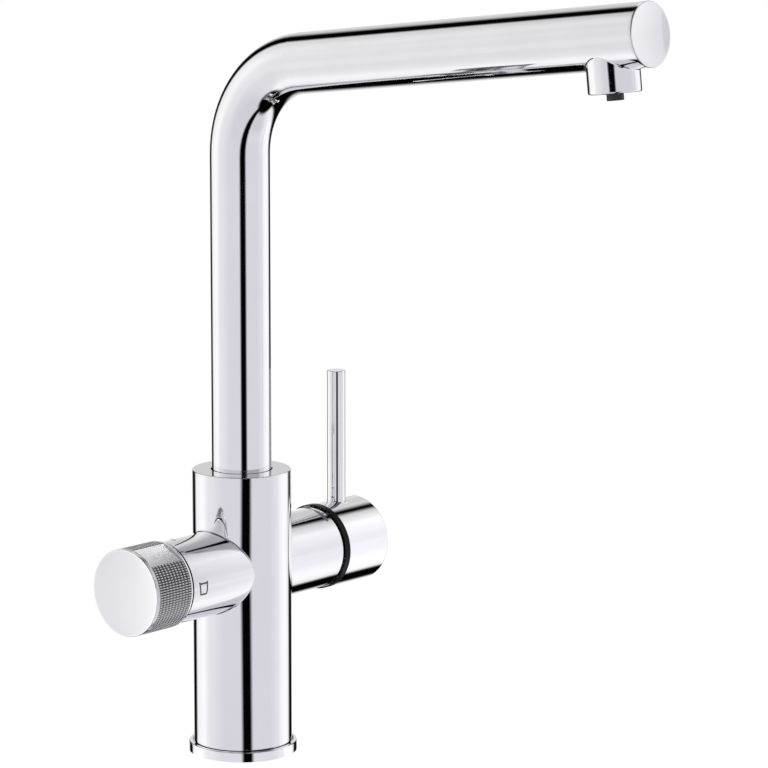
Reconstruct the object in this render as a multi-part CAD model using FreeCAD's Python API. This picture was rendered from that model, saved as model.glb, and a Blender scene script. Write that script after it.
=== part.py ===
import FreeCAD, Part
import math
import os
from FreeCAD import Vector

# Kitchen tap with a second, filtered water way. Millimetres. The origin is the centre of the worktop face
# on the column's axis, +Z is up, +X is the mixing handle's side and the spout points along -Y.

# Clearances
SEAT_GAP = 0.05
RUN_GAP = 0.08
OPEN_GAP = 0.3

# Column, with a hub tube across it
BODY_D = 46.4
BODY_WALL = 2.5
BODY_TOP = 135.0
TOP_WALL = 4.0
TOP_EDGE = 0.4
SPOUT_SEAM = 0.5
HUB_Z = 89.0
HUB_D = 39.0
HUB_WALL = 2.1
HUB_OUT_RIGHT = 27.8
HUB_OUT_LEFT = 30.1
HUB_ROOT = 0.8

# Base ring and its gasket
BASE_PROUD = 2.3
BASE_H = 4.7
BASE_FLANGE = 2.4
BASE_EDGE = 0.5
BASE_GROOVE_W = 0.7
BASE_GROOVE_T = 1.2
GASKET_W = 3.0
GASKET_T = 1.2

# Valve core: waterways, hose threads and stud threads
CORE_BELOW = 7.0
CORE_STEP = 0.9
STUD_SPACING = 29.0
STUD_HOLE_D = 5.0
STUD_DEPTH = 12.0
INLET_D = 8.92
INLET_DEPTH = 12.0
SUPPLY_D = 6.0
SUPPLY_INSET = 0.5
FILTER_SUPPLY_IN = 6.0
RISER_D = 5.0
HOSE_SEAT_DEPTH = 8.0

# Spout tube: upright, bend and rising arm
TUBE_D = 28.0
TUBE_WALL = 1.25
ARM_Z = 322.0
ARM_RISE = 6.7
BEND_R = 44.0
ARM_LENGTH = 234.4
END_RIM = 1.6
END_EDGE = 0.6
END_PLUG_L = 6.0
END_PLUG_WALL = 2.2
BRAZE_GAP = 0.03

# Spout bearing in the core
FOOT_STEP = 1.0
SOCKET_DEPTH = 18.0
FOOT_CLEAR = 2.0
FOOT_IN_TUBE = 18.0
FOOT_WALL = 3.4
SLIP_T = 1.0
SLIP_W = 4.0
O_RING_T = 1.4
O_RING_FIRST = 3.0
O_RING_STEP = 6.0
STOP_SCREW_D = 4.0
STOP_HEIGHT = 3.2
STOP_BITE = 1.7
STOP_KEY = 2.0
SWIVEL = 75.0

# Outlet socket, aerator and nozzle
OUTLET_BACK = 21.1
OUTLET_D = 23.2
OUTLET_WALL = 1.7
OUTLET_BELOW = 9.5
OUTLET_EDGE = 0.8
OUTLET_THROAT_D = 16.0
SHOULDER_BELOW = 0.5
AERATOR_SEAL_T = 1.0
AERATOR_WALL = 1.35
AERATOR_LIP = 0.9
AERATOR_RECESS = 0.6
INSERT_T = 5.0
INSERT_HOLE_D = 1.5
INSERT_HOLES = 16
NOZZLE_D = 7.4
NOZZLE_BORE = 4.8
NOZZLE_PROUD = 3.0
NOZZLE_COLLAR_D = 10.0
NOZZLE_COLLAR_T = 1.2

# Filtered water tube inside the spout
HOSE_D = 8.0
HOSE_BORE = 5.0
HOSE_TAIL = 2.0
HOSE_SHORT = 1.5

# Mixing cartridge in the right hub
CARTRIDGE_INSET = 11.2
CARTRIDGE_D = 28.0
CARTRIDGE_WALL = 1.4
FLANGE_GAP = 1.5
FLANGE_T = 4.0
LIP_T = 2.0
NUT_T = 4.5
NUT_INSET = 1.5
NUT_WALL = 4.75
NUT_SLOT = 4.0
DISC_T = 3.5
FIXED_DISC_D = 24.8
MOVING_DISC_D = 17.2
MIX_POCKET_D = 11.0
MIX_POCKET_T = 2.0
PORT_D = 5.6
PORT_SIDE = 6.5
PORT_LOW = 4.5
PORT_HIGH = 7.6
MIXED_WAY_D = 4.4
MIXED_WAY_INSET = 1.47
PORT_SEAL_W = 1.3
PORT_SEAL_T = 1.2
PIVOT_INSET = 2.5
BALL_ARM = 14.0
BALL_D = 7.0
SLIDER_BACK = 7.5
SLIDER_FRONT = 3.5
SLIDER_W = 11.0
SLIDER_H = 13.0
SLIDER_FLOOR = 2.5
BALL_PLAY = 0.1
CARRIER_NECK_D = 21.0
CARRIER_END = 1.0
STEM_W = 8.0
STEM_TILT_ROOM = 2.8
STEM_NECK_D = 5.2
STEM_BACK = 4.5
TILT_PIN_D = 3.0
PIN_INSET = 0.9
DOME_INSET = 0.9
DOME_T = 1.2
DOME_REACH = 7.0
DOME_PLUG_WALL = 1.35

# Mixing handle: skirt ring, cap and pin lever
RING_W = 3.2
RING_PROUD = 0.9
SKIRT_GAP = 0.25
SKIRT_DEPTH = 2.8
SPIGOT_L = 1.5
SPIGOT_WALL = 0.25
CAP_PROUD = 0.95
CAP_WALL = 1.5
CAP_EDGE = 0.8
CAP_END_WALL = 2.5
HANDLE_LENGTH = 27.8
BOSS_D = 16.0
BOSS_START = 9.5
SOCKET_FLOOR = 2.0
ROD_BACK = 14.8
ROD_D = 8.8
ROD_TOP = 173.0
ROD_EDGE = 0.5
ROD_SEAT = 16.0
ROD_STUD_D = 6.0
PILLAR_D = 12.6

# Filter headpart in the left hub, stations measured to the left of the column's axis
HEAD_INSET = 4.2
HEAD_DEPTH = 13.0
HEAD_SPOT_D = 27.0
HEAD_SEAL_T = 2.0
HEAD_SEAL_D = 17.0
HEAD_THREAD_D = 19.1
HEAD_HEX = 22.0
HEAD_HEX_T = 6.0
HEAD_NECK_D = 16.0
HEAD_NECK_L = 11.0
HEAD_CAVITY_D = 15.4
HEAD_DISC_T = 2.5
HEAD_WINDOW_D = 4.0
DISC_HOLE_D = 3.8
DISC_HOLE_AT = 3.8
SPINDLE_D = 8.0
SPINDLE_DOG_T = 3.2
SPINDLE_DOG_W = 3.4
SPINDLE_SEAL_AT = 8.0
SPINDLE_SEAL_T = 0.9
CLIP_T = 1.0
CLIP_D = 13.0
CLIP_DEPTH = 0.7
CLIP_MOUTH = 5.0

# Filter knob
KNOB_SEAM = 1.0
KNOB_LENGTH = 24.0
KNOB_PROUD = 0.7
KNOB_WALL = 3.2
KNOB_REAR_T = 3.3
KNOB_REAR_RIM = 1.5
KNOB_DISC_T = 0.8
KNOB_EDGE = 0.3
KNOB_PLUG_L = 6.0
KNOB_PLUG_WALL = 2.0
KNURL_PITCH = 1.08
KNURL_DEPTH = 0.5
THUMB_FROM = 44.0
THUMB_TO = 84.0
GUIDE_L = 5.8
GUIDE_WALL = 2.0
GUIDE_SPIGOT_WALL = 3.0
ADAPTER_T = 5.0
ADAPTER_HUB_D = 16.0
ADAPTER_HUB_L = 13.0
SPINDLE_INTO_FLANGE = 1.0
KNOB_SCREW_D = 4.0
KNOB_SCREW_HEAD_D = 7.0
KNOB_SCREW_HEAD_T = 3.0
KNOB_SCREW_L = 14.0
KNOB_SCREW_KEY = 2.5

# Stations and diameters that follow from the sizes above
HUB_RIGHT = BODY_D / 2 + HUB_OUT_RIGHT
HUB_LEFT = BODY_D / 2 + HUB_OUT_LEFT
BASE_D = BODY_D + 2 * BASE_PROUD
BORE_D = BODY_D - 2 * BODY_WALL
CORE_D = BORE_D - 2 * OPEN_GAP
CORE_TOP = BODY_TOP - TOP_WALL - CORE_BELOW
CORE_FOOT_D = CORE_D - 2 * CORE_STEP
HUB_BORE = HUB_D - 2 * HUB_WALL
TUBE_BORE = TUBE_D - 2 * TUBE_WALL
TUBE_FOOT_Z = CORE_TOP + SLIP_T
SOCKET_D = TUBE_D - 2 * FOOT_STEP
SOCKET_Z = CORE_TOP - SOCKET_DEPTH
FOOT_Z = SOCKET_Z + FOOT_CLEAR
STOP_Z = TUBE_FOOT_Z + STOP_HEIGHT
TURN = 90.0 - ARM_RISE
BEND_RUN = BEND_R * math.tan(math.radians(TURN / 2))
OUTLET_X = ARM_LENGTH - OUTLET_BACK
OUTLET_DROP = TUBE_D / 2 + OUTLET_BELOW
OUTLET_SHOULDER = TUBE_D / 2 + SHOULDER_BELOW
NOZZLE_DROP = OUTLET_DROP + NOZZLE_PROUD
HOSE_END = OUTLET_SHOULDER - HOSE_SHORT
HOSE_BEND_R = HOSE_END - HOSE_TAIL
POCKET_D = OUTLET_D - 2 * OUTLET_WALL
HOUSING_TOP = OUTLET_SHOULDER + AERATOR_SEAL_T
HOUSING_LOW = OUTLET_DROP - AERATOR_RECESS
INSERT_LOW = HOUSING_LOW - AERATOR_LIP
HOUSING_BORE = POCKET_D - 2 * SEAT_GAP - 2 * AERATOR_WALL
CARTRIDGE_SEAT = BODY_D / 2 - CARTRIDGE_INSET
FLANGE_D = HUB_BORE - 2 * FLANGE_GAP
NUT_BORE = HUB_BORE - 2 * SEAT_GAP - 2 * NUT_WALL
DOME_D = HUB_D - 2 * DOME_INSET
PIVOT_X = HUB_RIGHT - PIVOT_INSET
BALL_X = PIVOT_X - BALL_ARM
SLIDER_X0 = BALL_X - SLIDER_BACK
SLIDER_X1 = BALL_X + SLIDER_FRONT
FIXED_DISC_X = SLIDER_X0 - 2 * DISC_T
NUT_X = HUB_RIGHT - NUT_INSET - NUT_T
LIP_X = NUT_X - LIP_T
CARTRIDGE_BORE = CARTRIDGE_D - 2 * CARTRIDGE_WALL
CARRIER_D = CARTRIDGE_BORE - 2 * RUN_GAP
CARRIER_X1 = HUB_RIGHT + CARRIER_END
SUPPLY_X = CARTRIDGE_SEAT - SUPPLY_INSET
HANDLE_X = HUB_RIGHT + RING_W
HANDLE_END = HANDLE_X + HANDLE_LENGTH
SKIRT_BORE = HUB_D + 2 * SKIRT_GAP
RING_D = HUB_D + 2 * RING_PROUD
CAP_D = HUB_D + 2 * CAP_PROUD
SPIGOT_D = SKIRT_BORE + 2 * SPIGOT_WALL
BOSS_X = HUB_RIGHT + BOSS_START
ROD_X = HANDLE_END - ROD_BACK
STEM_END = HANDLE_END - CAP_END_WALL - SOCKET_FLOOR
HEAD_SEAT = BODY_D / 2 - HEAD_INSET
HEAD_FLOOR = HEAD_SEAT - HEAD_DEPTH
FILTER_SUPPLY_X = HEAD_FLOOR + FILTER_SUPPLY_IN
HEAD_BACK = HEAD_FLOOR + HEAD_SEAL_T
HEAD_DOG_X = HEAD_BACK + 2 * HEAD_DISC_T
HEAD_CAVITY_X = HEAD_DOG_X + SPINDLE_DOG_T + OPEN_GAP
HEAD_NECK_X = HEAD_SEAT + HEAD_HEX_T
HEAD_END = HEAD_NECK_X + HEAD_NECK_L
KNOB_X = HUB_LEFT + KNOB_SEAM
KNOB_END = KNOB_X + KNOB_LENGTH
KNOB_D = HUB_D + 2 * KNOB_PROUD
KNOB_BORE = KNOB_D - 2 * KNOB_WALL
ADAPTER_X = KNOB_X + KNOB_REAR_T
SPINDLE_END = ADAPTER_X + SPINDLE_INTO_FLANGE
DISC_X = KNOB_END - KNOB_DISC_T
GUIDE_BORE = HUB_BORE - 2 * SEAT_GAP - 2 * GUIDE_WALL
GUIDE_SPIGOT_D = GUIDE_BORE - 2 * RUN_GAP

X_AXIS = Vector(1, 0, 0)
Y_AXIS = Vector(0, 1, 0)
Z_AXIS = Vector(0, 0, 1)

# The arm's own frame: x along the arm from the column's axis, z square to it and upwards
ARM_TURN = FreeCAD.Rotation(X_AXIS, -ARM_RISE).multiply(FreeCAD.Rotation(Z_AXIS, -90))
ARM_FRAME = FreeCAD.Placement(Vector(0, 0, ARM_Z), ARM_TURN)


def on_arm(shape):
    placed = shape.copy()
    placed.Placement = ARM_FRAME.multiply(placed.Placement)
    return placed


def disc_x(x0, x1, d, y=0.0, rise=0.0):
    """Round bar along the hub axis, or beside it."""
    return Part.makeCylinder(d / 2, x1 - x0, Vector(x0, y, HUB_Z + rise), X_AXIS)


def tube_x(x0, x1, outer, bore):
    return disc_x(x0, x1, outer).cut(disc_x(x0, x1, bore))


def left_disc(a, b, d):
    """Round bar on the hub axis between two stations left of the column."""
    return disc_x(-b, -a, d)


def left_tube(a, b, outer, bore):
    return tube_x(-b, -a, outer, bore)


def disc_z(z0, z1, d, x=0.0, y=0.0):
    return Part.makeCylinder(d / 2, z1 - z0, Vector(x, y, z0), Z_AXIS)


def tube_z(z0, z1, outer, bore):
    return disc_z(z0, z1, outer).cut(disc_z(z0, z1, bore))


def block_x(x0, x1, width, height):
    """Bar of rectangular section on the hub axis."""
    return Part.makeBox(x1 - x0, width, height, Vector(x0, -width / 2, HUB_Z - height / 2))


def hexagon_prism(flats, start, direction, length):
    """Hexagonal bar from a point along a direction."""
    radius = flats / math.sqrt(3)
    angles = [k * math.pi / 3 for k in range(7)]
    corners = [Vector(radius * math.cos(angle), radius * math.sin(angle), 0) for angle in angles]
    prism = Part.Face(Part.makePolygon(corners)).extrude(Vector(0, 0, length))
    prism.Placement = FreeCAD.Placement(start, FreeCAD.Rotation(Z_AXIS, direction))
    return prism


def o_ring(centre, direction, ring_r, wire_r):
    return Part.makeTorus(ring_r, wire_r, centre, direction)


def rounded(shape, radius, picks):
    """Round the edges for which picks(edge) holds."""
    edges = [edge for edge in shape.Edges if picks(edge)]
    return shape.makeFillet(radius, edges)


def at_x(x):
    return lambda edge: abs(edge.BoundBox.XMin - x) < 1e-4 and abs(edge.BoundBox.XMax - x) < 1e-4


def at_z(z):
    return lambda edge: abs(edge.BoundBox.ZMin - z) < 1e-4 and abs(edge.BoundBox.ZMax - z) < 1e-4


def spout_run(d, low_z, arm_end):
    """Solid bar along the spout's centre line: upright, bend and arm."""
    bend_z = ARM_Z - BEND_RUN
    upright = disc_z(low_z, bend_z, d)
    section = Part.Face(Part.Wire(Part.makeCircle(d / 2, Vector(0, 0, bend_z), Z_AXIS)))
    bend = section.revolve(Vector(0, -BEND_R, bend_z), X_AXIS, TURN)
    arm = on_arm(Part.makeCylinder(d / 2, arm_end - BEND_RUN, Vector(BEND_RUN, 0, 0), X_AXIS))
    return upright.fuse([bend, arm]).removeSplitter()


def down_disc(top, low, d):
    """Round bar square to the arm at the outlet, between two depths below the arm's axis."""
    return Part.makeCylinder(d / 2, low - top, Vector(OUTLET_X, 0, -low), Z_AXIS)


def down_tube(top, low, outer, bore):
    return down_disc(top, low, outer).cut(down_disc(top, low, bore))


# Column

def at_hub_root(edge):
    """Whether an edge is where a hub leaves the column."""
    box = edge.BoundBox
    return abs(box.Center.z - HUB_Z) < 1e-3 and max(abs(box.XMin), abs(box.XMax)) < BODY_D / 2 + 1e-3


def body_shell():
    column = rounded(disc_z(BASE_FLANGE, BODY_TOP, BODY_D), TOP_EDGE, at_z(BODY_TOP))
    casting = column.fuse(disc_x(-HUB_LEFT, HUB_RIGHT, HUB_D))
    casting = rounded(casting, HUB_ROOT, at_hub_root)
    bore = disc_z(BASE_FLANGE, BODY_TOP - TOP_WALL, BORE_D)
    hub_bore = disc_x(-HUB_LEFT, HUB_RIGHT, HUB_BORE)
    spout_hole = disc_z(BODY_TOP - TOP_WALL, BODY_TOP, TUBE_D + 2 * SPOUT_SEAM)
    screw_hole = Part.makeCylinder(STOP_SCREW_D / 2 + SEAT_GAP, BODY_D, Vector(0, 0, STOP_Z), Y_AXIS)
    return casting.cut([bore, hub_bore, spout_hole, screw_hole])


def base_ring():
    ring = rounded(disc_z(0, BASE_H, BASE_D), BASE_EDGE, at_z(BASE_H))
    seat = disc_z(BASE_FLANGE, BASE_H, BODY_D + 2 * SEAT_GAP)
    bore = disc_z(0, BASE_FLANGE, CORE_FOOT_D + 2 * SEAT_GAP)
    groove = disc_z(BASE_H - BASE_GROOVE_T, BASE_H, BODY_D + 2 * BASE_GROOVE_W)
    gasket_seat = tube_z(0, GASKET_T, BODY_D, BODY_D - 2 * GASKET_W)
    return ring.cut([seat, bore, groove, gasket_seat])


def base_gasket():
    return tube_z(0, GASKET_T, BODY_D - 2 * SEAT_GAP, BODY_D - 2 * GASKET_W + 2 * SEAT_GAP)


def supply_ways():
    """Hot, cold and filtered drillings, each with its hose thread at the foot."""
    ways = []
    port_top = HUB_Z - PORT_LOW + PORT_D / 2
    for side in (-1, 1):
        ways.append(disc_z(0, INLET_DEPTH, INLET_D, SUPPLY_X, side * PORT_SIDE))
        ways.append(disc_z(INLET_DEPTH, port_top, SUPPLY_D, SUPPLY_X, side * PORT_SIDE))
    ways.append(disc_z(0, INLET_DEPTH, INLET_D, -FILTER_SUPPLY_X))
    ways.append(disc_z(INLET_DEPTH, HUB_Z - HEAD_CAVITY_D / 2, SUPPLY_D, -FILTER_SUPPLY_X))
    return ways


def valve_core():
    core = disc_z(0, BASE_FLANGE, CORE_FOOT_D).fuse(disc_z(BASE_FLANGE, CORE_TOP, CORE_D))
    cuts = supply_ways()
    cuts.append(disc_x(CARTRIDGE_SEAT, BODY_D, CARTRIDGE_D + 2 * SEAT_GAP))
    cuts.append(left_disc(HEAD_SEAT, BODY_D, HEAD_SPOT_D))
    cuts.append(left_disc(HEAD_FLOOR, HEAD_SEAT, HEAD_THREAD_D + 2 * SEAT_GAP))
    cuts.append(left_disc(0, HEAD_FLOOR, RISER_D))
    cuts.append(disc_z(HUB_Z, SOCKET_Z, RISER_D))
    cuts.append(disc_z(SOCKET_Z - HOSE_SEAT_DEPTH, SOCKET_Z, HOSE_D + 2 * RUN_GAP))
    cuts.append(disc_z(SOCKET_Z, CORE_TOP, SOCKET_D))
    mixed_low = HUB_Z + PORT_HIGH - PORT_D / 2
    cuts.append(disc_z(mixed_low, SOCKET_Z, MIXED_WAY_D, CARTRIDGE_SEAT - MIXED_WAY_INSET))
    for side in (-1, 1):
        cuts.append(disc_z(0, STUD_DEPTH, STUD_HOLE_D, 0, side * STUD_SPACING / 2))
    return core.cut(cuts).removeSplitter()


def spout_slip_ring():
    return tube_z(CORE_TOP, CORE_TOP + SLIP_T, SOCKET_D + 2 * SLIP_W, SOCKET_D)


def spout_stop_screw():
    tip_y = TUBE_D / 2 - STOP_BITE
    end_y = BODY_D / 2 - OPEN_GAP
    screw = Part.makeCylinder(STOP_SCREW_D / 2, end_y - tip_y, Vector(0, tip_y, STOP_Z), Y_AXIS)
    key = hexagon_prism(STOP_KEY, Vector(0, end_y - STOP_KEY, STOP_Z), Y_AXIS, STOP_KEY)
    return screw.cut(key)


# Spout

def stop_slot():
    """Part ring round the tube in which the stop screw's tip travels."""
    half_screw = math.degrees(math.asin((STOP_SCREW_D / 2 + OPEN_GAP) / (TUBE_D / 2 - STOP_BITE)))
    half = SWIVEL + half_screw
    low = STOP_Z - STOP_SCREW_D / 2 - OPEN_GAP
    height = STOP_SCREW_D + 2 * OPEN_GAP
    ring = Part.makeCylinder(TUBE_D, height, Vector(0, 0, low), Z_AXIS, 2 * half)
    core = Part.makeCylinder(TUBE_D / 2 - STOP_BITE - OPEN_GAP, height, Vector(0, 0, low), Z_AXIS)
    ring.rotate(Vector(0, 0, 0), Z_AXIS, 90 - half)
    return ring.cut(core)


def spout_tube():
    outside = spout_run(TUBE_D, TUBE_FOOT_Z, ARM_LENGTH - END_RIM)
    inside = spout_run(TUBE_BORE, TUBE_FOOT_Z, ARM_LENGTH - END_RIM)
    outlet_hole = on_arm(down_disc(0, TUBE_D, OUTLET_THROAT_D))
    return outside.cut(inside).cut([outlet_hole, stop_slot()])


def spout_foot():
    foot_d = SOCKET_D - 2 * RUN_GAP
    foot = disc_z(FOOT_Z, TUBE_FOOT_Z, foot_d)
    foot = foot.fuse(disc_z(TUBE_FOOT_Z, TUBE_FOOT_Z + FOOT_IN_TUBE, TUBE_BORE - 2 * SEAT_GAP))
    cuts = [disc_z(FOOT_Z, TUBE_FOOT_Z + FOOT_IN_TUBE, TUBE_BORE - 2 * FOOT_WALL), stop_slot()]
    groove_w = O_RING_T + 2 * SEAT_GAP
    for z in o_ring_heights():
        low = z - groove_w / 2
        cuts.append(tube_z(low, low + groove_w, foot_d, foot_d - 2 * groove_w))
    return foot.cut(cuts)


def o_ring_heights():
    return [FOOT_Z + O_RING_FIRST + k * O_RING_STEP for k in range(2)]


def spout_o_rings():
    ring_r = SOCKET_D / 2 - RUN_GAP - SEAT_GAP - O_RING_T / 2
    centres = [Vector(0, 0, z) for z in o_ring_heights()]
    return Part.makeCompound([o_ring(centre, Z_AXIS, ring_r, O_RING_T / 2) for centre in centres])


def spout_end_cap():
    rim_x = ARM_LENGTH - END_RIM
    rim = Part.makeCylinder(TUBE_D / 2, END_RIM, Vector(rim_x, 0, 0), X_AXIS)
    rim = rounded(rim, END_EDGE, at_x(ARM_LENGTH))
    plug_d = TUBE_BORE - 2 * SEAT_GAP
    plug_start = Vector(rim_x - END_PLUG_L, 0, 0)
    plug = Part.makeCylinder(plug_d / 2, END_PLUG_L, plug_start, X_AXIS)
    hollow = Part.makeCylinder(plug_d / 2 - END_PLUG_WALL, END_PLUG_L, plug_start, X_AXIS)
    return on_arm(rim.fuse(plug.cut(hollow)))


def outlet_socket():
    socket = rounded(down_disc(0, OUTLET_DROP, OUTLET_D), OUTLET_EDGE, at_z(-OUTLET_DROP))
    saddle = Part.makeCylinder(TUBE_D / 2 + BRAZE_GAP, ARM_LENGTH, Vector(0, 0, 0), X_AXIS)
    throat = down_disc(0, OUTLET_SHOULDER, OUTLET_THROAT_D)
    pocket = down_disc(OUTLET_SHOULDER, OUTLET_DROP, POCKET_D)
    return on_arm(socket.cut([saddle, throat, pocket]))


def aerator_seal():
    return on_arm(down_tube(OUTLET_SHOULDER, HOUSING_TOP, POCKET_D - 2 * SEAT_GAP, OUTLET_THROAT_D))


def aerator_housing():
    ring = down_tube(HOUSING_TOP, HOUSING_LOW, POCKET_D - 2 * SEAT_GAP, HOUSING_BORE)
    lip = down_tube(INSERT_LOW, HOUSING_LOW, HOUSING_BORE + AERATOR_WALL, HOUSING_BORE - 2 * AERATOR_LIP)
    return on_arm(ring.fuse(lip).removeSplitter())


def aerator_insert():
    outer = HOUSING_BORE - 2 * SEAT_GAP
    bore = NOZZLE_D + 2 * SEAT_GAP
    insert = down_tube(INSERT_LOW - INSERT_T, INSERT_LOW, outer, bore)
    circle_r = (NOZZLE_D + HOUSING_BORE - 2 * AERATOR_LIP) / 4
    holes = []
    for k in range(INSERT_HOLES):
        angle = 2 * math.pi * k / INSERT_HOLES
        hole = down_disc(INSERT_LOW - INSERT_T, INSERT_LOW, INSERT_HOLE_D)
        hole.translate(Vector(circle_r * math.cos(angle), circle_r * math.sin(angle), 0))
        holes.append(hole)
    return on_arm(insert.cut(holes))


def filter_nozzle():
    collar_low = INSERT_LOW - INSERT_T
    nozzle = down_disc(HOSE_END, NOZZLE_DROP, NOZZLE_D)
    nozzle = nozzle.fuse(down_disc(collar_low - NOZZLE_COLLAR_T, collar_low, NOZZLE_COLLAR_D))
    return on_arm(nozzle.cut(down_disc(HOSE_END, NOZZLE_DROP, NOZZLE_BORE)))


def hose_run(d):
    """Bar along the filtered tube's line: up the spout, along the arm and down to the nozzle."""
    low_z = SOCKET_Z - HOSE_SEAT_DEPTH + SEAT_GAP
    main = spout_run(d, low_z, OUTLET_X - HOSE_BEND_R)
    start = Vector(OUTLET_X - HOSE_BEND_R, 0, 0)
    section = Part.Face(Part.Wire(Part.makeCircle(d / 2, start, X_AXIS)))
    bend = section.revolve(start - Vector(0, 0, HOSE_BEND_R), Y_AXIS, 90)
    tail = down_disc(HOSE_BEND_R, HOSE_END, d)
    return main.fuse([on_arm(bend), on_arm(tail)]).removeSplitter()


def filtered_water_tube():
    return hose_run(HOSE_D).cut(hose_run(HOSE_BORE))


# Mixing cartridge

def port_places():
    """Centres of the hot, cold and mixed ports about the hub axis: sideways and up."""
    return [(-PORT_SIDE, -PORT_LOW), (PORT_SIDE, -PORT_LOW), (0.0, PORT_HIGH)]


def cartridge_housing():
    housing = disc_x(CARTRIDGE_SEAT, NUT_X, CARTRIDGE_D)
    housing = housing.fuse(disc_x(NUT_X - FLANGE_T, NUT_X, FLANGE_D))
    bore = disc_x(CARTRIDGE_SEAT, LIP_X, CARTRIDGE_BORE)
    mouth = disc_x(LIP_X, NUT_X, CARRIER_NECK_D + 2 * RUN_GAP)
    return housing.cut([bore, mouth])


def cartridge_base():
    base = disc_x(CARTRIDGE_SEAT, FIXED_DISC_X, CARTRIDGE_BORE - 2 * SEAT_GAP)
    cuts = []
    seat_d = PORT_D + 2 * PORT_SEAL_W
    for side, rise in port_places():
        cuts.append(disc_x(CARTRIDGE_SEAT, FIXED_DISC_X, PORT_D, side, rise))
        cuts.append(disc_x(CARTRIDGE_SEAT, CARTRIDGE_SEAT + PORT_SEAL_T, seat_d, side, rise))
    return base.cut(cuts)


def cartridge_seals():
    seals = []
    seal_x1 = CARTRIDGE_SEAT + PORT_SEAL_T
    seal_d = PORT_D + 2 * PORT_SEAL_W - 2 * SEAT_GAP
    for side, rise in port_places():
        outer = disc_x(CARTRIDGE_SEAT, seal_x1, seal_d, side, rise)
        seals.append(outer.cut(disc_x(CARTRIDGE_SEAT, seal_x1, PORT_D, side, rise)))
    return Part.makeCompound(seals)


def fixed_mixing_disc():
    face_x = FIXED_DISC_X + DISC_T
    disc = disc_x(FIXED_DISC_X, face_x, FIXED_DISC_D)
    ports = [disc_x(FIXED_DISC_X, face_x, PORT_D, side, rise) for side, rise in port_places()]
    return disc.cut(ports)


def moving_mixing_disc():
    disc_x0 = SLIDER_X0 - DISC_T
    pocket = disc_x(disc_x0, disc_x0 + MIX_POCKET_T, MIX_POCKET_D)
    return disc_x(disc_x0, SLIDER_X0, MOVING_DISC_D).cut(pocket)


def disc_slider():
    block = block_x(SLIDER_X0, SLIDER_X1, SLIDER_W, SLIDER_H)
    return block.cut(disc_x(SLIDER_X0 + SLIDER_FLOOR, SLIDER_X1, BALL_D + 2 * BALL_PLAY))


def cartridge_carrier():
    shoulder = LIP_X - OPEN_GAP
    carrier = disc_x(SLIDER_X0 + OPEN_GAP, shoulder, CARRIER_D)
    carrier = carrier.fuse(disc_x(shoulder, CARRIER_X1, CARRIER_NECK_D))
    channel = block_x(SLIDER_X0, SLIDER_X1 + OPEN_GAP, SLIDER_W + 2 * RUN_GAP, CARTRIDGE_D)
    slot = block_x(SLIDER_X1, CARRIER_X1, STEM_W + 2 * RUN_GAP, STEM_W + STEM_TILT_ROOM)
    pin_start = Vector(PIVOT_X, -CARTRIDGE_D / 2, HUB_Z)
    pin_hole = Part.makeCylinder(TILT_PIN_D / 2 + SEAT_GAP, CARTRIDGE_D, pin_start, Y_AXIS)
    return carrier.cut([channel, slot, pin_hole])


def tilt_pin():
    length = CARRIER_NECK_D - 2 * PIN_INSET
    return Part.makeCylinder(TILT_PIN_D / 2, length, Vector(PIVOT_X, -length / 2, HUB_Z), Y_AXIS)


def cartridge_stem():
    bar = block_x(PIVOT_X - STEM_BACK, STEM_END, STEM_W, STEM_W)
    neck = disc_x(BALL_X, PIVOT_X - STEM_BACK, STEM_NECK_D)
    ball = Part.makeSphere(BALL_D / 2, Vector(BALL_X, 0, HUB_Z))
    pin_start = Vector(PIVOT_X, -STEM_W / 2, HUB_Z)
    pin_hole = Part.makeCylinder(TILT_PIN_D / 2 + RUN_GAP, STEM_W, pin_start, Y_AXIS)
    return bar.fuse([neck, ball]).cut(pin_hole)


def cartridge_nut():
    nut = tube_x(NUT_X, NUT_X + NUT_T, HUB_BORE - 2 * SEAT_GAP, NUT_BORE)
    across = block_x(NUT_X + NUT_T / 2, NUT_X + NUT_T, NUT_SLOT, HUB_D)
    along = block_x(NUT_X + NUT_T / 2, NUT_X + NUT_T, HUB_D, NUT_SLOT)
    return nut.cut([across, along])


def sphere_r(x, radius):
    """Radius about the hub axis of a ball centred on the tilt pivot."""
    return math.sqrt(radius ** 2 - (x - PIVOT_X) ** 2)


def cartridge_dome():
    outer = DOME_D / 2
    inner = outer - DOME_T
    front = HUB_RIGHT + DOME_REACH
    web = HUB_RIGHT + DOME_T
    plug_r = HUB_BORE / 2 - SEAT_GAP
    low_r = plug_r - DOME_PLUG_WALL
    middle = (HUB_RIGHT + front) / 2

    def place(x, r):
        return Vector(x, 0, HUB_Z + r)

    back = NUT_X + NUT_T
    lower = [place(web, low_r), place(back, low_r), place(back, plug_r), place(HUB_RIGHT, plug_r)]
    lower.append(place(HUB_RIGHT, sphere_r(HUB_RIGHT, outer)))
    edges = Part.makePolygon(lower).Edges
    crown = [place(x, sphere_r(x, outer)) for x in (HUB_RIGHT, middle, front)]
    edges.append(Part.Arc(*crown).toShape())
    edges.append(Part.makeLine(crown[-1], place(front, sphere_r(front, inner))))
    under = [place(x, sphere_r(x, inner)) for x in (front, middle, web)]
    edges.append(Part.Arc(*under).toShape())
    edges.append(Part.makeLine(under[-1], lower[0]))
    return Part.Face(Part.Wire(edges)).revolve(Vector(0, 0, HUB_Z), X_AXIS, 360)


# Mixing handle

def handle_ring():
    ring = tube_x(HUB_RIGHT, HANDLE_X, RING_D, SKIRT_BORE)
    return ring.cut(disc_x(HANDLE_X - SPIGOT_L, HANDLE_X, SPIGOT_D + 2 * SEAT_GAP))


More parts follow.
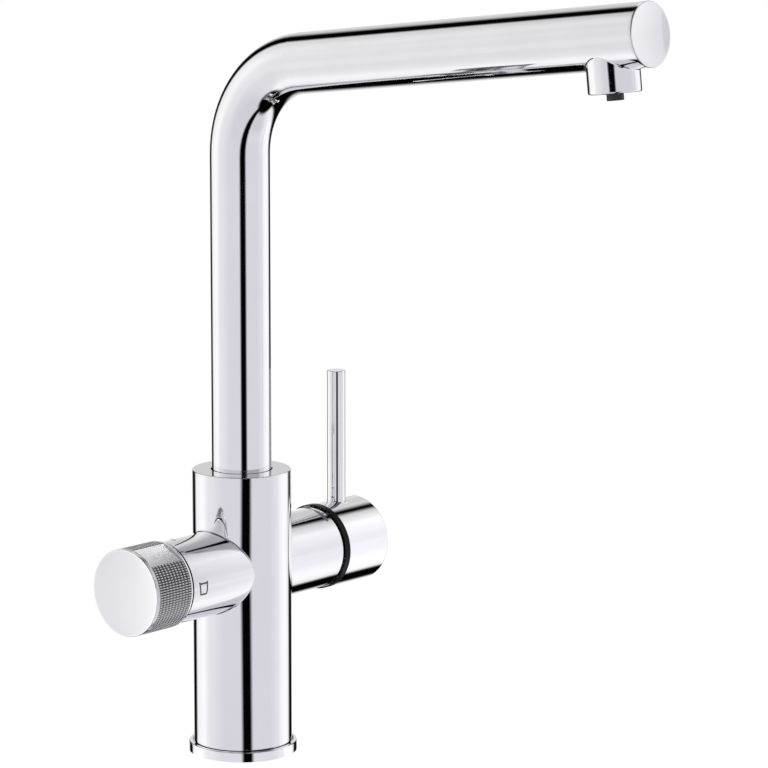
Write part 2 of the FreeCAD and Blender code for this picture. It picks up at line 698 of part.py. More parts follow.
def handle_cap():
    shell = rounded(disc_x(HANDLE_X, HANDLE_END, CAP_D), CAP_EDGE, at_x(HANDLE_END))
    inner_end = HANDLE_END - CAP_END_WALL
    cavity = disc_x(HANDLE_X, inner_end, CAP_D - 2 * CAP_WALL)
    skirt = disc_x(HANDLE_X, HANDLE_X + SKIRT_DEPTH, SKIRT_BORE)
    spigot = tube_x(HANDLE_X - SPIGOT_L, HANDLE_X, SPIGOT_D, SKIRT_BORE)
    boss = disc_x(BOSS_X, inner_end, BOSS_D)
    pillar = disc_z(HUB_Z, HUB_Z + CAP_D / 2 - CAP_WALL / 2, PILLAR_D, ROD_X)
    cap = shell.cut([cavity, skirt]).fuse([spigot, boss, pillar])
    socket = block_x(BOSS_X, STEM_END, STEM_W + 2 * SEAT_GAP, STEM_W + 2 * SEAT_GAP)
    seat = disc_z(HUB_Z + ROD_SEAT, HUB_Z + CAP_D, ROD_D + 2 * SEAT_GAP, ROD_X)
    thread = disc_z(HUB_Z, HUB_Z + ROD_SEAT, ROD_STUD_D + 2 * SEAT_GAP, ROD_X)
    return cap.cut([socket, seat, thread]).removeSplitter()


def lever_rod():
    rod = rounded(disc_z(HUB_Z + ROD_SEAT, ROD_TOP, ROD_D, ROD_X), ROD_EDGE, at_z(ROD_TOP))
    return rod.fuse(disc_z(HUB_Z + STEM_W / 2, HUB_Z + ROD_SEAT, ROD_STUD_D, ROD_X))


# Filter headpart

def headpart_body():
    body = left_disc(HEAD_BACK, HEAD_SEAT, HEAD_THREAD_D)
    nut = hexagon_prism(HEAD_HEX, Vector(-HEAD_SEAT, 0, HUB_Z), -X_AXIS, HEAD_HEX_T)
    body = body.fuse([nut, left_disc(HEAD_NECK_X, HEAD_END, HEAD_NECK_D)])
    cavity = left_disc(HEAD_BACK, HEAD_CAVITY_X, HEAD_CAVITY_D)
    bore = left_disc(HEAD_BACK, HEAD_END, SPINDLE_D + 2 * RUN_GAP)
    window = disc_z(HUB_Z - BODY_D / 2, HUB_Z + BODY_D / 2, HEAD_WINDOW_D, -HEAD_DOG_X - SPINDLE_DOG_T / 2)
    return body.cut([cavity, bore, window])


def headpart_seal():
    return left_tube(HEAD_FLOOR, HEAD_BACK, HEAD_SEAL_D, HEAD_SEAL_D - 2 * (HEAD_THREAD_D - HEAD_CAVITY_D))


def holed_disc(a, b, d, side, rise):
    disc = left_disc(a, b, d)
    holes = [disc_x(-b, -a, DISC_HOLE_D, sign * side, sign * rise) for sign in (-1, 1)]
    return disc.cut(holes)


def headpart_fixed_disc():
    return holed_disc(HEAD_BACK, HEAD_BACK + HEAD_DISC_T, HEAD_CAVITY_D - 2 * SEAT_GAP, 0.0, DISC_HOLE_AT)


def headpart_turning_disc():
    start = HEAD_BACK + HEAD_DISC_T
    return holed_disc(start, HEAD_DOG_X, HEAD_CAVITY_D - 2 * OPEN_GAP, DISC_HOLE_AT, 0.0)


def headpart_spindle():
    dog_end = HEAD_DOG_X + SPINDLE_DOG_T
    blade = block_x(-dog_end, -HEAD_DOG_X, SPINDLE_DOG_W, HEAD_CAVITY_D)
    dog = blade.common(left_disc(HEAD_DOG_X, dog_end, HEAD_CAVITY_D - 2 * OPEN_GAP))
    spindle = dog.fuse(left_disc(dog_end, SPINDLE_END, SPINDLE_D))
    seal_x = HEAD_NECK_X + SPINDLE_SEAL_AT
    half = SPINDLE_SEAL_T / 2 + SEAT_GAP
    seal_groove = left_tube(seal_x - half, seal_x + half, SPINDLE_D, SPINDLE_D - 4 * half)
    clip_x0 = HEAD_END + OPEN_GAP - SEAT_GAP
    clip_x1 = clip_x0 + CLIP_T + 2 * SEAT_GAP
    clip_groove = left_tube(clip_x0, clip_x1, SPINDLE_D, SPINDLE_D - 2 * CLIP_DEPTH)
    thread = left_disc(SPINDLE_END - KNOB_SCREW_L, SPINDLE_END, KNOB_SCREW_D + 2 * SEAT_GAP)
    return spindle.cut([seal_groove, clip_groove, thread])


def spindle_o_ring():
    centre = Vector(-HEAD_NECK_X - SPINDLE_SEAL_AT, 0, HUB_Z)
    return o_ring(centre, X_AXIS, SPINDLE_D / 2 - SEAT_GAP - SPINDLE_SEAL_T / 2, SPINDLE_SEAL_T / 2)


def spindle_clip():
    start = HEAD_END + OPEN_GAP
    ring = left_tube(start, start + CLIP_T, CLIP_D, SPINDLE_D - 2 * CLIP_DEPTH + 2 * SEAT_GAP)
    mouth_corner = Vector(-start - CLIP_T, -CLIP_MOUTH / 2, HUB_Z - CLIP_D)
    mouth = Part.makeBox(CLIP_T, CLIP_MOUTH, CLIP_D, mouth_corner)
    return ring.cut(mouth)


# Filter knob

def knurl_face(x):
    """Section of the grip: fine teeth all round, apart from a flat for the thumb."""
    tip = KNOB_D / 2
    root = tip - KNURL_DEPTH
    span = 360.0 - (THUMB_TO - THUMB_FROM)
    count = int(math.radians(span) * tip / KNURL_PITCH)

    def place(degrees, r):
        angle = math.radians(degrees)
        return Vector(x, -r * math.cos(angle), HUB_Z + r * math.sin(angle))

    corners = [place(THUMB_TO, root)]
    for k in range(count):
        corners.append(place(THUMB_TO + span * (k + 0.5) / count, tip))
        corners.append(place(THUMB_TO + span * (k + 1) / count, root))
    return Part.Face(Part.makePolygon(corners + corners[:1]))


def knob_grip():
    knurl_start = KNOB_X + KNOB_REAR_RIM
    grip = knurl_face(-DISC_X).extrude(Vector(DISC_X - knurl_start, 0, 0))
    rim = rounded(left_disc(KNOB_X, knurl_start, KNOB_D), KNOB_EDGE, at_x(-KNOB_X))
    spigot = left_disc(KNOB_X - GUIDE_L + OPEN_GAP, KNOB_X, GUIDE_SPIGOT_D)
    grip = grip.fuse([rim, spigot])
    bore = left_disc(ADAPTER_X, DISC_X, KNOB_BORE)
    spigot_bore = left_disc(KNOB_X - GUIDE_L, KNOB_X, GUIDE_SPIGOT_D - 2 * GUIDE_SPIGOT_WALL)
    hub_hole = left_disc(KNOB_X, ADAPTER_X, ADAPTER_HUB_D + 2 * SEAT_GAP)
    return grip.cut([bore, spigot_bore, hub_hole])


def knob_cap():
    disc = rounded(left_disc(DISC_X, KNOB_END, KNOB_D), KNOB_EDGE, at_x(-KNOB_END))
    plug_d = KNOB_BORE - 2 * SEAT_GAP
    return disc.fuse(left_tube(DISC_X - KNOB_PLUG_L, DISC_X, plug_d, plug_d - 2 * KNOB_PLUG_WALL))


def knob_adapter():
    flange = left_disc(ADAPTER_X, ADAPTER_X + ADAPTER_T, KNOB_BORE - 2 * SEAT_GAP)
    adapter = flange.fuse(left_disc(ADAPTER_X - ADAPTER_HUB_L, ADAPTER_X, ADAPTER_HUB_D))
    spindle = left_disc(ADAPTER_X - ADAPTER_HUB_L, SPINDLE_END, SPINDLE_D + 2 * SEAT_GAP)
    screw_hole = left_disc(SPINDLE_END, ADAPTER_X + ADAPTER_T, KNOB_SCREW_D + 2 * SEAT_GAP)
    return adapter.cut([spindle, screw_hole])


def knob_screw():
    head_x = ADAPTER_X + ADAPTER_T
    end = head_x + KNOB_SCREW_HEAD_T
    screw = left_disc(head_x - KNOB_SCREW_L, head_x, KNOB_SCREW_D)
    screw = screw.fuse(left_disc(head_x, end, KNOB_SCREW_HEAD_D))
    key = hexagon_prism(KNOB_SCREW_KEY, Vector(-end, 0, HUB_Z), X_AXIS, KNOB_SCREW_HEAD_T / 2)
    return screw.cut(key)


def knob_guide_ring():
    return left_tube(HUB_LEFT - GUIDE_L, HUB_LEFT, HUB_BORE - 2 * SEAT_GAP, GUIDE_BORE)


PIECES = [
    body_shell, base_ring, base_gasket, valve_core, spout_slip_ring, spout_stop_screw,
    spout_tube, spout_foot, spout_o_rings, spout_end_cap, outlet_socket, filtered_water_tube,
    aerator_seal, aerator_housing, aerator_insert, filter_nozzle,
    cartridge_housing, cartridge_base, cartridge_seals, fixed_mixing_disc, moving_mixing_disc, disc_slider,
    cartridge_carrier, tilt_pin, cartridge_stem, cartridge_nut, cartridge_dome,
    handle_ring, handle_cap, lever_rod,
    headpart_body, headpart_seal, headpart_fixed_disc, headpart_turning_disc, headpart_spindle,
    spindle_o_ring, spindle_clip, knob_grip, knob_cap, knob_adapter, knob_screw, knob_guide_ring,
]

os.makedirs("parts", exist_ok=True)
for piece in PIECES:
    piece().exportStep("parts/" + piece.__name__ + ".step")
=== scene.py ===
import math
import bmesh
import bpy
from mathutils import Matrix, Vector


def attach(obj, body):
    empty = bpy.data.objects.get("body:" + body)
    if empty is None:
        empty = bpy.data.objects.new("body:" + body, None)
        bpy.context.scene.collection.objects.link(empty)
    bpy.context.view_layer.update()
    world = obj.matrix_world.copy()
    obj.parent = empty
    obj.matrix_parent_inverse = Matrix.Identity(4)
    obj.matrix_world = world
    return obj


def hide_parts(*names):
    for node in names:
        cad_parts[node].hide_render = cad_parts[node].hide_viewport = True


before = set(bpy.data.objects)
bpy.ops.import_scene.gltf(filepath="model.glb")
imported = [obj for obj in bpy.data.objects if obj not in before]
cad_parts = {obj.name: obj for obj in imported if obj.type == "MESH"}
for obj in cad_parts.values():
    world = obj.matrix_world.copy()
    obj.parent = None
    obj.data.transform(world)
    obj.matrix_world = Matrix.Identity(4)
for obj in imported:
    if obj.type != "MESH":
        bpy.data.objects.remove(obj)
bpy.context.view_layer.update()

# Column: one brass casting with a hub tube across it, turned, polished and chrome plated.
# Its plating has the faint unevenness in gloss that buffing leaves, and no grain.
SHADE_ENDS = (0.35, 0.65)
GLOSS_ENDS = (0.3, 0.7)
BUFFING = 60.0
POLISH = (0.035, 0.06)


def surface(name, metal):
    """A new material with its tree, its shader and the object coordinates for its patterns."""
    material = bpy.data.materials.new(name)
    material.use_nodes = True
    tree = material.node_tree
    shader = tree.nodes["Principled BSDF"]
    shader.inputs["Metallic"].default_value = metal
    coords = tree.nodes.new("ShaderNodeTexCoord")
    return material, tree, shader, coords.outputs["Object"]


def mottle(tree, shader, place, scale, colours, roughness, detail=3.0):
    """Noise that carries the colour between two shades and the roughness between two values."""
    noise = tree.nodes.new("ShaderNodeTexNoise")
    noise.inputs["Scale"].default_value = scale
    noise.inputs["Detail"].default_value = detail
    tree.links.new(place, noise.inputs["Vector"])
    ramp = tree.nodes.new("ShaderNodeValToRGB")
    for stop, at, colour in zip(ramp.color_ramp.elements, SHADE_ENDS, colours):
        stop.position = at
        stop.color = (*colour, 1.0)
    tree.links.new(noise.outputs["Fac"], ramp.inputs["Fac"])
    tree.links.new(ramp.outputs["Color"], shader.inputs["Base Color"])
    gloss = tree.nodes.new("ShaderNodeMapRange")
    for label, value in zip(("From Min", "From Max", "To Min", "To Max"), (*GLOSS_ENDS, *roughness)):
        gloss.inputs[label].default_value = value
    tree.links.new(noise.outputs["Fac"], gloss.inputs["Value"])
    tree.links.new(gloss.outputs["Result"], shader.inputs["Roughness"])
    return noise.outputs["Fac"]


def polished(name, dark, light):
    """Mirror polished chrome plate between two shades."""
    material, tree, shader, place = surface(name, metal=1.0)
    mottle(tree, shader, place, BUFFING, (dark, light), POLISH)
    return material


def dress(material, *nodes):
    """Give CAD nodes a finish in place of the plain one that they come with."""
    for node in nodes:
        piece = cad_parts[node]
        piece.data.materials.clear()
        piece.data.materials.append(material)


chrome = polished("chrome_plate", (0.885, 0.874, 0.893), (0.905, 0.894, 0.912))
dress(chrome, "body_shell")

# Base ring: turned brass ring, chrome plated, with its plate painted paler than the column's as painted
# light, pressed down on a rubber gasket that seals it to the worktop.
# Painted light: the column's chrome copied a shade paler.
painted_light_chrome = polished("painted_light_chrome_plate", (0.955, 0.944, 0.964), (0.975, 0.964, 0.984))
dress(painted_light_chrome, "base_ring")


def relief(tree, shader, height, strength, depth):
    """Bump from a height output."""
    bump = tree.nodes.new("ShaderNodeBump")
    bump.inputs["Strength"].default_value = strength
    bump.inputs["Distance"].default_value = depth
    tree.links.new(height, bump.inputs["Height"])
    tree.links.new(bump.outputs["Normal"], shader.inputs["Normal"])


rubber, tree, shader, place = surface("seal_rubber", metal=0.0)
grain = mottle(tree, shader, place, scale=900.0, colours=((0.012, 0.012, 0.013), (0.03, 0.03, 0.031)),
               roughness=(0.6, 0.8), detail=6.0)
relief(tree, shader, grain, strength=0.25, depth=0.0002)
dress(rubber, "base_gasket")

# Valve core and the pieces in it: a machined brass block with the waterways and threads, on whose faces
# the cutting marks run round the column's axis. Pins, screws and the cartridge's stem are turned steel,
# and the guides, the carrier and the cartridge's housing are moulded plastic.
brass, tree, shader, place = surface("machined_brass", metal=1.0)
mottle(tree, shader, place, scale=120.0, colours=((0.62, 0.42, 0.17), (0.74, 0.54, 0.25)),
       roughness=(0.22, 0.38))
turning = tree.nodes.new("ShaderNodeTexWave")
turning.bands_direction = "Z"
turning.inputs["Scale"].default_value = 900.0
turning.inputs["Distortion"].default_value = 0.6
tree.links.new(place, turning.inputs["Vector"])
relief(tree, shader, turning.outputs["Fac"], strength=0.2, depth=0.00005)
dress(brass, "valve_core", "spout_foot", "headpart_body", "headpart_spindle", "cartridge_nut")

steel, tree, shader, place = surface("turned_steel", metal=1.0)
grain = mottle(tree, shader, place, scale=400.0, colours=((0.42, 0.42, 0.43), (0.58, 0.58, 0.59)),
               roughness=(0.2, 0.36))
relief(tree, shader, grain, strength=0.15, depth=0.00005)
dress(steel, "spout_stop_screw", "tilt_pin", "spindle_clip", "knob_screw", "cartridge_stem")

valve_plastic, tree, shader, place = surface("moulded_valve_plastic", metal=0.0)
grain = mottle(tree, shader, place, scale=350.0, colours=((0.62, 0.62, 0.59), (0.7, 0.7, 0.67)),
               roughness=(0.38, 0.52))
relief(tree, shader, grain, strength=0.12, depth=0.0001)
dress(valve_plastic, "spout_slip_ring", "cartridge_housing", "cartridge_base", "cartridge_carrier",
      "disc_slider", "knob_adapter", "knob_guide_ring")

# Spout: bent brass tube with the outlet socket brazed under its arm, chromed together. The foot turns
# in the core on two rubber rings, and a milky hose inside carries the filtered water.
dress(chrome, "spout_tube", "outlet_socket")
dress(rubber, "spout_o_rings", "aerator_seal")

hose, tree, shader, place = surface("milky_hose", metal=0.0)
mottle(tree, shader, place, scale=200.0, colours=((0.6, 0.64, 0.68), (0.68, 0.71, 0.74)),
       roughness=(0.3, 0.42))
shader.inputs["Subsurface Weight"].default_value = 0.2
dress(hose, "filtered_water_tube")

# Outlet blend: the brazed root of the outlet socket, ground and polished to a small hollow before plating,
# so that the socket flows out of the arm. A ball rolled round the corner gives its section.
# Towards the column the joint still shows as a fine dark line.
ARM_Z = 0.322
ARM_RISE = math.radians(6.7)
TUBE_R = 0.014
OUTLET_ALONG = 0.2133
OUTLET_R = 0.0116
BLEND_R = 0.001
BLEND_STEPS = 128
BLEND_ARC_STEPS = 8
BLEND_SHARP = math.radians(40)
EDGE_SUNK = 0.00006
CORNER_SUNK = 5 * EDGE_SUNK
JOINT_ROWS = range(1, 7)
JOINT_STEPS = 30


def on_arm(along, across, up):
    """Point from the arm's own frame: along the arm, across it, and square to it and upwards."""
    return Vector((across, up * math.sin(ARM_RISE) - along * math.cos(ARM_RISE),
                   ARM_Z + along * math.sin(ARM_RISE) + up * math.cos(ARM_RISE)))


def finished(bm, name, *materials):
    """Turn a bmesh into an object at the origin with its faces pointing outwards."""
    bmesh.ops.recalc_face_normals(bm, faces=bm.faces)
    mesh = bpy.data.meshes.new(name)
    bm.to_mesh(mesh)
    bm.free()
    for material in materials:
        mesh.materials.append(material)
    piece = bpy.data.objects.new(name, mesh)
    bpy.context.scene.collection.objects.link(piece)
    return piece


bm = bmesh.new()
rings = []
for step in range(BLEND_STEPS):
    angle = 2 * math.pi * step / BLEND_STEPS
    out = Vector((math.cos(angle), math.sin(angle), 0.0))
    ball = out * (OUTLET_R + BLEND_R)
    ball.z = -math.sqrt((TUBE_R + BLEND_R) ** 2 - ball.y ** 2)
    to_tube = Vector((0.0, -ball.y, -ball.z)).normalized()
    turns = [to_tube.lerp(-out, k / BLEND_ARC_STEPS).normalized() for k in range(BLEND_ARC_STEPS + 1)]
    section = [ball + turn * BLEND_R for turn in turns]
    section[0] += to_tube * EDGE_SUNK
    section[-1] -= out * EDGE_SUNK
    corner = out * (OUTLET_R - CORNER_SUNK)
    corner.z = -math.sqrt((TUBE_R - CORNER_SUNK) ** 2 - corner.y ** 2)
    section.append(corner)
    rings.append([bm.verts.new(on_arm(OUTLET_ALONG + point.x, point.y, point.z)) for point in section])
for step, ring in enumerate(rings):
    after = rings[(step + 1) % BLEND_STEPS]
    faces_column = abs(step - BLEND_STEPS // 2) < JOINT_STEPS
    for row in range(len(ring)):
        beside = (row + 1) % len(ring)
        face = bm.faces.new((ring[row], ring[beside], after[beside], after[row]))
        face.smooth = True
        face.material_index = 1 if faces_column and row in JOINT_ROWS else 0
blend = finished(bm, "outlet_blend", chrome, rubber)
blend.data.set_sharp_from_angle(angle=BLEND_SHARP)
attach(blend, "spout")

# Spout end cap: turned brass disc with a hollow plug that is pressed into the tube. The turning tool leaves
# its face dished by a fraction of a millimetre, which gives it a soft run of tone.
ARM_LENGTH = 0.2344
END_RIM = 0.0016
END_EDGE = 0.0006
END_DISH = 0.0007
END_LIP = (0.0003, 0.00003)
END_PLUG_R = 0.0127
END_PLUG_BORE_R = 0.0105
END_PLUG_LENGTH = 0.006
DISC_STEPS = 8
TURNED_STEPS = 128
TURNED_SHARP = math.radians(13)
# Painted shade: the end disc's plate is the column's chrome made a shade darker.
painted_shade_turned_chrome = polished("painted_shade_turned_chrome", (0.82, 0.81, 0.828), (0.84, 0.83, 0.848))


def dished_disc(front, back, radius, edge, dish, lip):
    """Outline of a disc as (along, radius), from the middle of its hollow face round its edge to its back."""
    inward = math.copysign(1.0, back - front)
    lip_width, lip_drop = lip
    hollow_r = radius - edge - lip_width
    outline = []
    for k in range(DISC_STEPS + 1):
        sunk = lip_drop + dish * (1 - (k / DISC_STEPS) ** 2)
        outline.append((front + inward * sunk, hollow_r * k / DISC_STEPS))
    for k in range(DISC_STEPS + 1):
        angle = math.radians(90 * k / DISC_STEPS)
        outline.append((front + inward * edge * (1 - math.cos(angle)), radius - edge * (1 - math.sin(angle))))
    return outline + [(back, radius)]


def turned_piece(bm, outline, place):
    """Spin an outline that starts and ends on the axis, and give the rows of faces back."""
    rings = []
    for along, radius in outline:
        count = TURNED_STEPS if radius else 1
        rings.append([bm.verts.new(place(along, 360.0 * k / TURNED_STEPS, radius)) for k in range(count)])
    rows = []
    for a, b in zip(rings, rings[1:]):
        rows.append([])
        for k in range(TURNED_STEPS):
            corners = (a[k % len(a)], b[k % len(b)], b[(k + 1) % len(b)], a[(k + 1) % len(a)])
            face = bm.faces.new(list(dict.fromkeys(corners)))
            face.smooth = True
            rows[-1].append(face)
    return rows


def about_arm(along, degrees, radius):
    """Point on a sleeve about the arm's axis."""
    angle = math.radians(degrees)
    return on_arm(along, radius * math.cos(angle), radius * math.sin(angle))


end_back = ARM_LENGTH - END_RIM
end_plug_end = end_back - END_PLUG_LENGTH
end_disc = dished_disc(ARM_LENGTH, end_back, TUBE_R, END_EDGE, END_DISH, END_LIP)
end_plug = [(end_back, END_PLUG_R), (end_plug_end, END_PLUG_R), (end_plug_end, END_PLUG_BORE_R),
            (end_back, END_PLUG_BORE_R), (end_back, 0.0)]
bm = bmesh.new()
turned_piece(bm, end_disc + end_plug, about_arm)
end_cap = finished(bm, "spout_end_disc", painted_shade_turned_chrome)
end_cap.data.set_sharp_from_angle(angle=TURNED_SHARP)
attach(end_cap, "spout")
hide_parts("spout_end_cap")

# Aerator and nozzle: dark grey moulded plastic, screwed up into the outlet socket.
# It has the fine matt grain of a spark-eroded mould.
nozzle_grey, tree, shader, place = surface("nozzle_plastic", metal=0.0)
grain = mottle(tree, shader, place, scale=1400.0, colours=((0.028, 0.028, 0.03), (0.045, 0.045, 0.047)),
               roughness=(0.45, 0.6), detail=5.0)
relief(tree, shader, grain, strength=0.2, depth=0.0001)
dress(nozzle_grey, "filter_nozzle", "aerator_housing", "aerator_insert")

# Mixing cartridge and filter headpart: pairs of lapped alumina discs on rubber seals. A chromed dome set
# into the hub covers the cartridge's open end and shows when the handle is tilted.
ceramic, tree, shader, place = surface("lapped_alumina", metal=0.0)
mottle(tree, shader, place, scale=800.0, colours=((0.74, 0.72, 0.68), (0.82, 0.8, 0.76)),
       roughness=(0.16, 0.26), detail=6.0)
dress(ceramic, "fixed_mixing_disc", "moving_mixing_disc", "headpart_fixed_disc", "headpart_turning_disc")
dress(rubber, "cartridge_seals", "headpart_seal", "spindle_o_ring")
dress(chrome, "cartridge_dome")

# Mixing handle: chromed cap and pin lever, with a black satin plastic skirt ring at the hub.
# The lever is screwed into the cap, and the cap sits on the cartridge's stem.
skirt_black, tree, shader, place = surface("skirt_plastic", metal=0.0)
grain = mottle(tree, shader, place, scale=1100.0, colours=((0.004, 0.004, 0.005), (0.008, 0.008, 0.009)),
               roughness=(0.3, 0.42), detail=4.0)
relief(tree, shader, grain, strength=0.1, depth=0.00005)
shader.inputs["Specular IOR Level"].default_value = 0.12
dress(skirt_black, "handle_ring")
# The cap takes the paler copy of the chrome, painted light.
dress(painted_light_chrome, "handle_cap")
dress(chrome, "lever_rod")

# Temperature marks: a red and a blue arc printed round the right hub just behind the skirt ring,
# red to the back and blue to the front. The ink has soft uneven cover.
HUB_Z = 0.089
HUB_R = 0.0195
INK_T = 0.00002
ARC_X = 0.0466
ARC_STEPS = 24


def ink(name, dark, light):
    """Printed ink between two shades."""
    material, tree, shader, place = surface(name, metal=0.0)
    mottle(tree, shader, place, scale=2200.0, colours=(dark, light), roughness=(0.25, 0.4), detail=4.0)
    return material


def on_hub(x, degrees, radius):
    """Point on a sleeve about the hub axis: 0 degrees faces the spout's side, 90 is up."""
    angle = math.radians(degrees)
    return Vector((x, -radius * math.cos(angle), HUB_Z + radius * math.sin(angle)))


def printed_strip(bm, line, width, steps):
    """A printed line on the hub along corners (x, degrees), with closed sides and a width for each share."""
    spine = []
    for (x, turn), (next_x, next_turn) in zip(line, line[1:]):
        spine += [(x + (next_x - x) * k / steps, turn + (next_turn - turn) * k / steps) for k in range(steps)]
    spine.append(line[-1])
    last = len(spine) - 1
    degrees_per_metre = math.degrees(1.0 / HUB_R)
    under = HUB_R - INK_T
    top = HUB_R + INK_T
    rows = []
    for k, (x, turn) in enumerate(spine):
        before = spine[max(k - 1, 0)]
        after = spine[min(k + 1, last)]
        along = Vector((after[0] - before[0], (after[1] - before[1]) / degrees_per_metre)).normalized()
        side = Vector((-along.y, along.x)) * width(k / last) / 2
        low = (x - side.x, turn - side.y * degrees_per_metre)
        high = (x + side.x, turn + side.y * degrees_per_metre)
        places = [(*low, under), (*low, top), (*high, top), (*high, under)]
        rows.append([bm.verts.new(on_hub(*corner)) for corner in places])
    for a, b in zip(rows, rows[1:]):
        for k in range(4):
            bm.faces.new((a[k], a[(k + 1) % 4], b[(k + 1) % 4], b[k]))
    bm.faces.new(rows[0])
    bm.faces.new(rows[-1])


for name, start, end, width, dark, light in (
        ("hot_arc", 81.0, 105.0, 0.0018, (0.44, 0.13, 0.11), (0.54, 0.2, 0.18)),
        ("cold_arc", 49.5, 79.0, 0.0024, (0.12, 0.2, 0.3), (0.2, 0.3, 0.4))):
    bm = bmesh.new()
    line = [(ARC_X, start), (ARC_X, end)]
    printed_strip(bm, line, lambda share: width * (0.5 + 0.5 * math.sin(math.pi * share)), ARC_STEPS)
    arc = finished(bm, name, ink(name + "_ink", dark, light))
    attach(arc, "column")

# Filter knob, grip: chromed barrel with a plain rim at the back, knurled all round apart from a satin flat
# for the thumb, which is a little crowned and runs out in a cutter's curve at the rim.
# The knurl is dull; painted shade darkens it from the tips to the floor, and darkens the seam behind the rim.
KNOB_REAR = -0.0547
KNURL_REAR = -0.0558
KNOB_SEAT = -0.0763
GRIP_R = 0.0202
ROOT_R = 0.0197
BORE_R = 0.017
SPIGOT_R = 0.01527
SPIGOT_BORE_R = 0.01227
SPIGOT_END = -0.0488
WEB = -0.0576
HUB_HOLE_R = 0.00805
RIM_EDGE = 0.0003
RIM_ROUND = 0.3 * RIM_EDGE
THUMB_FROM = 44.0
THUMB_TO = 84.0
THUMB_CROWN = 0.00018
RUN_OUT = 0.0022
RUN_OUT_ANGLES = (90, 70, 50, 30, 15, 0)
SEAM_ROWS = 2
THUMB_STEPS = 20
KNURL_STEPS = 200
BARREL_SHARP = math.radians(15)
SATIN = ((0.95, 0.945, 0.955), (0.98, 0.975, 0.985))
MIX_A = 6
MIX_B = 7
MIX_RESULT = 2
satin, tree, shader, place = surface("satin_chrome", metal=1.0)
mottle(tree, shader, place, scale=700.0, colours=SATIN, roughness=(0.24, 0.26))
run_out_satin, tree, shader, place = surface("run_out_satin", metal=0.6)
mottle(tree, shader, place, scale=700.0, colours=SATIN, roughness=(0.38, 0.4))

# Painted shade: the knurl's plate is a darker copy of the chrome, and with the distance from the knob's axis
# its colour falls to a tenth at the knurls' root.
knurled, tree, shader, place = surface("knurled_chrome_painted_shade", metal=1.0)
mottle(tree, shader, place, scale=1500.0, colours=((0.55, 0.548, 0.555), (0.66, 0.657, 0.665)),
       roughness=(0.28, 0.4), detail=4.0)
from_axis = tree.nodes.new("ShaderNodeVectorMath")
from_axis.operation = "MULTIPLY_ADD"
from_axis.inputs[1].default_value = (0.0, 1.0, 1.0)
from_axis.inputs[2].default_value = (0.0, 0.0, -HUB_Z)
tree.links.new(place, from_axis.inputs[0])
off_axis = tree.nodes.new("ShaderNodeVectorMath")
off_axis.operation = "LENGTH"
tree.links.new(from_axis.outputs[0], off_axis.inputs[0])
depth = tree.nodes.new("ShaderNodeMapRange")
for label, value in (("From Min", ROOT_R), ("From Max", GRIP_R), ("To Min", 0.1), ("To Max", 1.0)):
    depth.inputs[label].default_value = value
tree.links.new(off_axis.outputs["Value"], depth.inputs["Value"])
shadow = tree.nodes.new("ShaderNodeMix")
shadow.data_type = "RGBA"
shadow.blend_type = "MULTIPLY"
shadow.inputs["Factor"].default_value = 1.0
tree.links.new(shader.inputs["Base Color"].links[0].from_socket, shadow.inputs[MIX_A])
tree.links.new(depth.outputs["Result"], shadow.inputs[MIX_B])
tree.links.new(shadow.outputs[MIX_RESULT], shader.inputs["Base Color"])

run_out = [math.radians(degrees) for degrees in RUN_OUT_ANGLES]
rim = [(SPIGOT_END, SPIGOT_R), (KNOB_REAR, SPIGOT_R), (KNOB_REAR, GRIP_R - RIM_EDGE),
       (KNOB_REAR - RIM_ROUND, GRIP_R - RIM_ROUND), (KNOB_REAR - RIM_EDGE, GRIP_R), (KNURL_REAR, GRIP_R)]
floor_rise = [(KNURL_REAR - RUN_OUT * (1 - math.sin(angle)), 1 - math.cos(angle)) for angle in run_out]
floor_rise.append((KNOB_SEAT, 0.0))
inside = [(KNOB_SEAT, BORE_R), (WEB, BORE_R), (WEB, HUB_HOLE_R), (KNOB_REAR, HUB_HOLE_R),
          (KNOB_REAR, SPIGOT_BORE_R), (SPIGOT_END, SPIGOT_BORE_R)]
floor_rows = range(len(rim), len(rim) + len(run_out))
middle = (THUMB_FROM + THUMB_TO) / 2
half = math.radians(THUMB_TO - THUMB_FROM) / 2
turns = [THUMB_FROM + (THUMB_TO - THUMB_FROM) * k / THUMB_STEPS for k in range(THUMB_STEPS)]
turns += [THUMB_TO + (360 - THUMB_TO + THUMB_FROM) * k / KNURL_STEPS for k in range(KNURL_STEPS)]
bm = bmesh.new()
rings = []
for degrees in turns:
    off_middle = math.radians(degrees - middle)
    crown = THUMB_CROWN * (1 - (math.tan(off_middle) / math.tan(half)) ** 2)
    flat_r = (ROOT_R * math.cos(half) + crown) / math.cos(off_middle)
    on_flat = degrees < THUMB_TO
    floor = [(x, flat_r + (GRIP_R - flat_r) * rise if on_flat else ROOT_R) for x, rise in floor_rise]
    rings.append([bm.verts.new(on_hub(x, degrees, radius)) for x, radius in rim + floor + inside])
barrel_finishes = [chrome, knurled, satin, run_out_satin]
for step, ring in enumerate(rings):
    after = rings[(step + 1) % len(rings)]
    for row in range(len(ring)):
        beside = (row + 1) % len(ring)
        face = bm.faces.new((ring[row], ring[beside], after[beside], after[row]))
        face.smooth = True
        finish = chrome
        # The seam rows behind the rim take the knurl's painted shade.
        if row < SEAM_ROWS or (row in floor_rows and step >= THUMB_STEPS):
            finish = knurled
        elif row in floor_rows:
            finish = satin if row == floor_rows[-1] else run_out_satin
        face.material_index = barrel_finishes.index(finish)
barrel = finished(bm, "knob_barrel", *barrel_finishes)
barrel.data.set_sharp_from_angle(angle=BARREL_SHARP)
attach(barrel, "filter_knob")
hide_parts("knob_grip")

